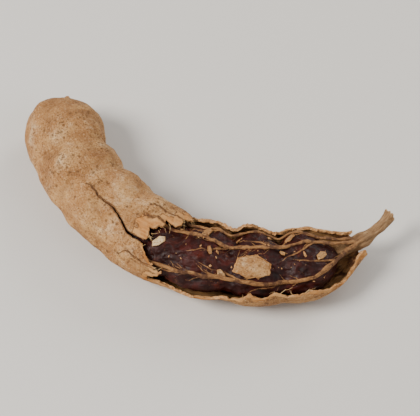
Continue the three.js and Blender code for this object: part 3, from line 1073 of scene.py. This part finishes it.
def make_crumbs():
    """Crumbs of shell, most of them like grains of salt, that stick to the flesh in the opening."""
    crumbs = []
    for count in range(CRUMBS):
        size = draw(0.1, 0.42, count, 103, 3)
        bpy.ops.mesh.primitive_ico_sphere_add(subdivisions=1, radius=1)
        crumb = bpy.context.object
        points = coordinates(crumb)
        points *= size * (1 + 0.9 * grain(points * 2 + 7 * count, 1.1, 2))[:, None]
        points *= np.array([1.4, draw(0.5, 1.0, count, 104), 0.45])
        x, y = rotated(points[:, 0], points[:, 1], 2 * math.pi * scatter(count, 105))
        along = draw(69.0, 113.0, count, 101) + x
        angle = math.radians(draw(22.0, 140.0, count, 102)) + y / FLESH_ROUND
        place(crumb, (on_pulp(along, angle, points[:, 2] + 0.2 * size) + SHIFT) * MM)
        crumbs.append(crumb)
    joined = join("shell_crumbs", crumbs)
    dress(joined, broken_edge())
    for face in joined.data.polygons:
        face.use_smooth = False
    return joined


# --- Finishes ---


def colour(code):
    """A finish's colour from its six-figure code."""
    linear = []
    for place in (0, 2, 4):
        share = int(code[place : place + 2], 16) / 255
        linear.append(share / 12.92 if share < 0.04045 else ((share + 0.055) / 1.055) ** 2.4)
    return (*linear, 1.0)


class Finish:
    """A material and the few kinds of node that the finishes are made of."""

    def __init__(self, name):
        self.material = bpy.data.materials.new(name)
        self.material.use_nodes = True
        self.tree = self.material.node_tree

    def feed(self, node, feeds):
        """Gives each of a node's sockets a link or a fixed value."""
        for socket, value in feeds.items():
            if isinstance(value, bpy.types.NodeSocket):
                self.tree.links.new(value, node.inputs[socket])
            else:
                node.inputs[socket].default_value = value

    def node(self, kind, feeds, **settings):
        made = self.tree.nodes.new(kind)
        for name, value in settings.items():
            setattr(made, name, value)
        self.feed(made, feeds)
        return made

    def noted(self, name, output="Fac"):
        return self.node("ShaderNodeAttribute", {}, attribute_name=name).outputs[output]

    def on_pod(self):
        """Places on the straightened pod, or on a straightened fibre, in millimetres."""
        return self.noted("pod_place", "Vector")

    def in_space(self):
        return self.node("ShaderNodeTexCoord", {}).outputs["Object"]

    def stretched(self, places, factors):
        return self.node("ShaderNodeMapping", {"Vector": places, "Scale": factors}).outputs["Vector"]

    def streaks(self, share, size, *rest):
        """Noise drawn out along the pod; the smaller the share, the longer the streaks."""
        return self.noise(self.stretched(self.on_pod(), (share, 1.0, 1.0)), size, *rest)

    def noise(self, places, size, detail=3.0, roughness=0.55, twist=0.0):
        """Noise from 0 to 1, with swellings about a size across."""
        feeds = {"Vector": places, "Scale": 1 / size, "Detail": detail, "Roughness": roughness}
        return self.node("ShaderNodeTexNoise", {**feeds, "Distortion": twist}).outputs["Fac"]

    def specks(self, places, size, amount):
        """Small uneven spots; the higher the amount, from 0.2 to 0.8, the more of them there are."""
        wave = self.node("ShaderNodeTexNoise", {"Vector": places, "Scale": 1 / (0.6 * size)})
        feeds = {0: wave.outputs["Color"], 1: [0.7 * size] * 3, 2: places}
        uneven = self.node("ShaderNodeVectorMath", feeds, operation="MULTIPLY_ADD").outputs["Vector"]
        cells = self.node("ShaderNodeTexVoronoi", {"Vector": uneven, "Scale": 1 / size}).outputs
        chosen = self.between(self.sum("SUBTRACT", amount, cells["Color"]), 0.0, 0.06)
        return self.sum("MULTIPLY", chosen, self.between(cells["Distance"], 0.6, 0.3))

    def sum(self, operation, first, second):
        return self.node("ShaderNodeMath", {0: first, 1: second}, operation=operation).outputs[0]

    def between(self, value, low, high, start=0.0, end=1.0):
        """The value's way from low to high, as a smooth step from start to end."""
        feeds = {"Value": value, "From Min": low, "From Max": high, "To Min": start, "To Max": end}
        return self.node("ShaderNodeMapRange", feeds, interpolation_type="SMOOTHSTEP").outputs["Result"]

    def ramp(self, value, *stops):
        node = self.node("ShaderNodeValToRGB", {"Fac": value})
        elements = node.color_ramp.elements
        while len(elements) < len(stops):
            elements.new(1.0)
        for element, (position, code) in zip(elements, stops):
            element.position = position
            element.color = colour(code)
        return node.outputs["Color"]

    def blend(self, share, first, second):
        first, second = (colour(each) if isinstance(each, str) else each for each in (first, second))
        feeds = {"Factor": share, 6: first, 7: second}
        return self.node("ShaderNodeMix", feeds, data_type="RGBA").outputs[2]

    def tint(self, base, code, value, low, high, most):
        """The base, tinted more the nearer the value comes to high."""
        return self.blend(self.between(value, low, high, 0.0, most), base, code)

    def bump(self, height, depth, strength=1.0, under=None):
        """Relief of a depth in millimetres, over another relief."""
        feeds = {"Distance": depth * MM, "Strength": strength, "Height": height}
        if under is not None:
            feeds["Normal"] = under
        return self.node("ShaderNodeBump", feeds).outputs["Normal"]

    def finish(self, base, roughness, normal=None, specular=0.3):
        feeds = {"Base Color": base, "Roughness": roughness, "Specular IOR Level": specular}
        if normal is not None:
            feeds["Normal"] = normal
        self.feed(self.tree.nodes["Principled BSDF"], feeds)
        return self.material


@cache
def shell_skin():
    """Dry husk: brown and finely speckled, pale where its high places are rubbed, bare at the break."""
    made = Finish("shell_skin")
    places, height = made.on_pod(), made.noted("height")
    cloud = made.noise(places, 6.0, 6.0, 0.62, 0.2)
    base = made.ramp(cloud, (0.3, "8F5F35"), (0.48, "AB7A48"), (0.68, "C49760"))
    rubbed_at = made.sum("ADD", made.sum("MULTIPLY", height, 0.35), made.noise(places, 4.5, 8.0, 0.72))
    base = made.tint(base, "DDBE93", rubbed_at, 0.5, 0.8, 0.85)
    streaks = made.streaks(0.14, 0.8, 5.0, 0.65)
    base = made.tint(base, "805331", streaks, 0.5, 0.72, 0.5)
    grainy = made.noise(places, 0.5, 5.0, 0.8)
    base = made.tint(base, "E0C299", grainy, 0.5, 0.7, 0.5)
    base = made.tint(base, "65401F", grainy, 0.5, 0.3, 0.7)
    amount = made.between(made.noise(places, 9.0, 5.0, 0.65, 0.3), 0.36, 0.64, 0.26, 0.56)
    fine = made.specks(places, 0.42, amount)
    base = made.blend(made.sum("MULTIPLY", fine, 0.6), base, "5E3A1E")
    coarse = made.specks(places, 0.95, made.sum("SUBTRACT", amount, 0.12))
    coarse = made.sum("MULTIPLY", coarse, made.between(grainy, 0.35, 0.6, 0.3, 0.85))
    base = made.blend(coarse, base, "553419")
    base = made.tint(base, "6F4828", height, 0.05, -0.4, 0.5)
    peel = made.sum("ADD", made.noted("near_break"), made.noise(places, 1.6, 6.0, 0.68))
    bare = made.blend(made.between(streaks, 0.35, 0.65), "A5682F", "C68B4F")
    bare = made.tint(bare, "D3A269", cloud, 0.4, 0.62, 0.7)
    base = made.tint(base, "6A3E20", peel, 0.92, 1.03, 0.6)
    base = made.tint(base, bare, peel, 1.02, 1.09, 0.94)
    # Painted shade: the skin is darkened along each open crack.
    base = made.tint(base, "472A17", made.noted("near_crack"), 0.5, 0.97, 0.85)
    relief = made.bump(made.noise(places, 1.5, 6.0, 0.7), 0.3, 0.8)
    relief = made.bump(grainy, 0.2, 0.9, relief)
    relief = made.bump(fine, 0.04, 0.8, relief)
    relief = made.bump(made.between(peel, 1.06, 1.0), 0.14, 1.0, relief)
    return made.finish(base, made.between(grainy, 0.3, 0.7, 0.9, 0.72), relief)


@cache
def shell_inside():
    """The inside of the shell: smoother, tan, with fibres along it and stains of pulp."""
    made = Finish("shell_inside")
    fibres = made.streaks(0.12, 0.7, 4.0, 0.6)
    base = made.ramp(fibres, (0.3, "8E6138"), (0.52, "B68654"), (0.72, "CDA273"))
    base = made.tint(base, "4B2414", made.noise(made.on_pod(), 5.0, 5.0, 0.68, 0.8), 0.46, 0.6, 0.88)
    return made.finish(base, 0.62, made.bump(fibres, 0.14, 0.8), 0.4)


@cache
def pale_lining():
    """Cream pith from the inside of the shell, with a little tan left on it."""
    made = Finish("pale_lining")
    pith = made.noise(made.in_space(), 0.6 * MM, 5.0, 0.7)
    base = made.ramp(pith, (0.36, "A87B4A"), (0.49, "CFB184"), (0.68, "E2CCA6"))
    base = made.tint(base, "B98A56", made.noted("near_break"), 0.25, 0.8, 0.85)
    return made.finish(base, 0.85, made.bump(pith, 0.25))


@cache
def broken_edge():
    """The snapped wall: pale tan and crumbly."""
    made = Finish("broken_edge")
    layers = made.noise(made.stretched(made.in_space(), (1.0, 1.0, 2.2)), 0.5 * MM, 5.0, 0.75)
    base = made.ramp(layers, (0.34, "8C5C33"), (0.5, "C08A56"), (0.68, "DFB988"))
    return made.finish(base, 0.85, made.bump(layers, 0.25))


@cache
def pulp_flesh():
    """Sticky dark flesh with a soft gloss: painted shade near black in the folds, a painted red-brown
    highlight on its raised places.
    """
    made = Finish("pulp_flesh")
    places, height = made.on_pod(), made.noted("height")
    cloud = made.noise(places, 4.0, 5.0, 0.65, 0.5)
    base = made.ramp(cloud, (0.3, "160301"), (0.5, "2C0A05"), (0.7, "46120A"))
    # Painted shade: the folds are tinted near black.
    base = made.tint(base, "0E0301", height, 0.1, -0.45, 0.8)
    # Painted highlight: the raised places are tinted red-brown.
    base = made.tint(base, "5E2210", height, 0.36, 0.8, 0.6)
    dust = made.specks(places, 0.36, made.between(made.noise(places, 5.0, 3.0), 0.5, 0.66, 0.0, 0.4))
    base = made.blend(made.sum("MULTIPLY", dust, 0.4), base, "7A4A28")
    fine = made.streaks(0.6, 0.7, 5.0, 0.65, 0.8)
    relief = made.bump(dust, 0.06, 0.8, made.bump(fine, 0.25, 0.9))
    dull = made.between(made.noise(places, 2.0, 4.0, 0.6), 0.38, 0.62, 0.3, 0.62)
    roughness = made.sum("ADD", dull, made.sum("MULTIPLY", dust, 0.2))
    return made.finish(base, roughness, relief, 0.22)


@cache
def string_fibre():
    """Tan fibre, stained dark in places by the flesh it lies on, and like the bark at the stalk."""
    made = Finish("string_fibre")
    streaks = made.streaks(0.16, 0.2, 5.0, 0.7, 0.3)
    base = made.ramp(streaks, (0.3, "5E3B1E"), (0.5, "91643A"), (0.7, "B78A56"))
    base = made.tint(base, "40200F", made.noise(made.in_space(), 3.0 * MM, 5.0, 0.7), 0.44, 0.6, 0.85)
    bark = made.ramp(streaks, (0.3, "664A2E"), (0.5, "8C6A47"), (0.7, "A9875F"))
    base = made.blend(made.noted("woody"), base, bark)
    return made.finish(base, 0.7, made.bump(streaks, 0.2), 0.32)


@cache
def torn_fibre():
    """Freshly torn fibre, paler than the strings."""
    made = Finish("torn_fibre")
    streaks = made.streaks(0.3, 0.3, 3.0, 0.6)
    base = made.ramp(streaks, (0.3, "9F7344"), (0.5, "CBA26D"), (0.7, "E6CBA0"))
    return made.finish(base, 0.8, made.bump(streaks, 0.1, 0.8))


@cache
def stalk_bark():
    """Woody stalk with lengthwise ridges; its snapped end is paler."""
    made = Finish("stalk_bark")
    streaks = made.streaks(0.15, 0.4, 7.0, 0.7)
    base = made.ramp(streaks, (0.3, "5F4228"), (0.5, "8C6A47"), (0.72, "AF8E68"))
    fresh = made.sum("MULTIPLY", made.noted("snapped"), made.between(streaks, 0.25, 0.5, 0.45, 1.0))
    base = made.blend(fresh, base, "CDA679")
    return made.finish(base, 0.82, made.bump(streaks, 0.2, 0.9))


# --- Floor, light and camera ---

CAMERA_AROUND = 32.0
CAMERA_ABOVE = 55.0
CAMERA_AWAY = 0.33
CAMERA_LENS = 100.0
CAMERA_TARGET = Vector((0.0085, 0.002, 0.009))
POD_MIDDLE = Vector((0, 0, 0.01))


def direction(around, above):
    """The direction to a place so many degrees round from the front and above the floor."""
    turn, rise = math.radians(around), math.radians(above)
    flat = math.cos(rise)
    return Vector((math.sin(turn) * flat, -math.cos(turn) * flat, math.sin(rise)))


def set_up(data, location, target):
    """Adds a camera or a light that looks at a target."""
    thing = bpy.data.objects.new(data.name, data)
    bpy.context.scene.collection.objects.link(thing)
    thing.location = location
    thing.rotation_euler = (target - thing.location).to_track_quat("-Z", "Y").to_euler()
    return thing


def make_camera():
    data = bpy.data.cameras.new("camera")
    data.lens = CAMERA_LENS
    data.clip_start = 0.01
    data.clip_end = 20
    location = CAMERA_TARGET + direction(CAMERA_AROUND, CAMERA_ABOVE) * CAMERA_AWAY
    bpy.context.scene.camera = set_up(data, location, CAMERA_TARGET)


def soft_light(name, around, above, away, size, power, tint):
    """A round soft light that looks at the pod; away and size are in metres."""
    data = bpy.data.lights.new(name, "AREA")
    data.shape = "DISK"
    data.size = size
    data.energy = power
    data.color = tint
    set_up(data, direction(around, above) * away, POD_MIDDLE)


def make_stage():
    bpy.ops.mesh.primitive_plane_add(size=6)
    floor = bpy.context.object
    floor.name = "floor"
    floor.data.materials.append(Finish("pale_floor").finish(colour("D9D5CF"), 0.9, None, 0.5))
    world = bpy.data.worlds.new("studio")
    world.use_nodes = True
    sky = world.node_tree.nodes["Background"].inputs
    sky["Color"].default_value = (1.0, 0.985, 0.96, 1.0)
    sky["Strength"].default_value = 0.36
    bpy.context.scene.world = world
    soft_light("key", -42, 44, 0.9, 0.4, 11.0, (1.0, 0.97, 0.93))
    soft_light("fill", 95, 35, 1.0, 0.7, 2.5, (0.95, 0.97, 1.0))
    soft_light("rim", 170, 30, 0.9, 0.5, 4.0, (1.0, 0.98, 0.95))


# --- The whole pod ---


def join_frame(piece, slot, *nodes):
    """Fastens a piece to the part's one body, and hides the solids that it stands for. The slot is not
    used.
    """
    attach(piece, "root")
    if nodes:
        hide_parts(*nodes)


def build():
    make_camera()
    make_stage()
    join_frame(make_shell(), "shell", "shell")
    join_frame(make_pulp(), "pulp", "pulp")
    join_frame(make_strings(), "strings", "stalk_and_strings")
    join_frame(make_stalk(), "strings", "stalk_and_strings")
    join_frame(make_torn_fibres(), "strings")
    chip, *bits = make_chips()
    join_frame(chip, "shell", "shell_chip")
    for bit in bits:
        join_frame(bit, "shell")
    join_frame(make_flake(), "shell")
    join_frame(make_crumbs(), "shell")


build()
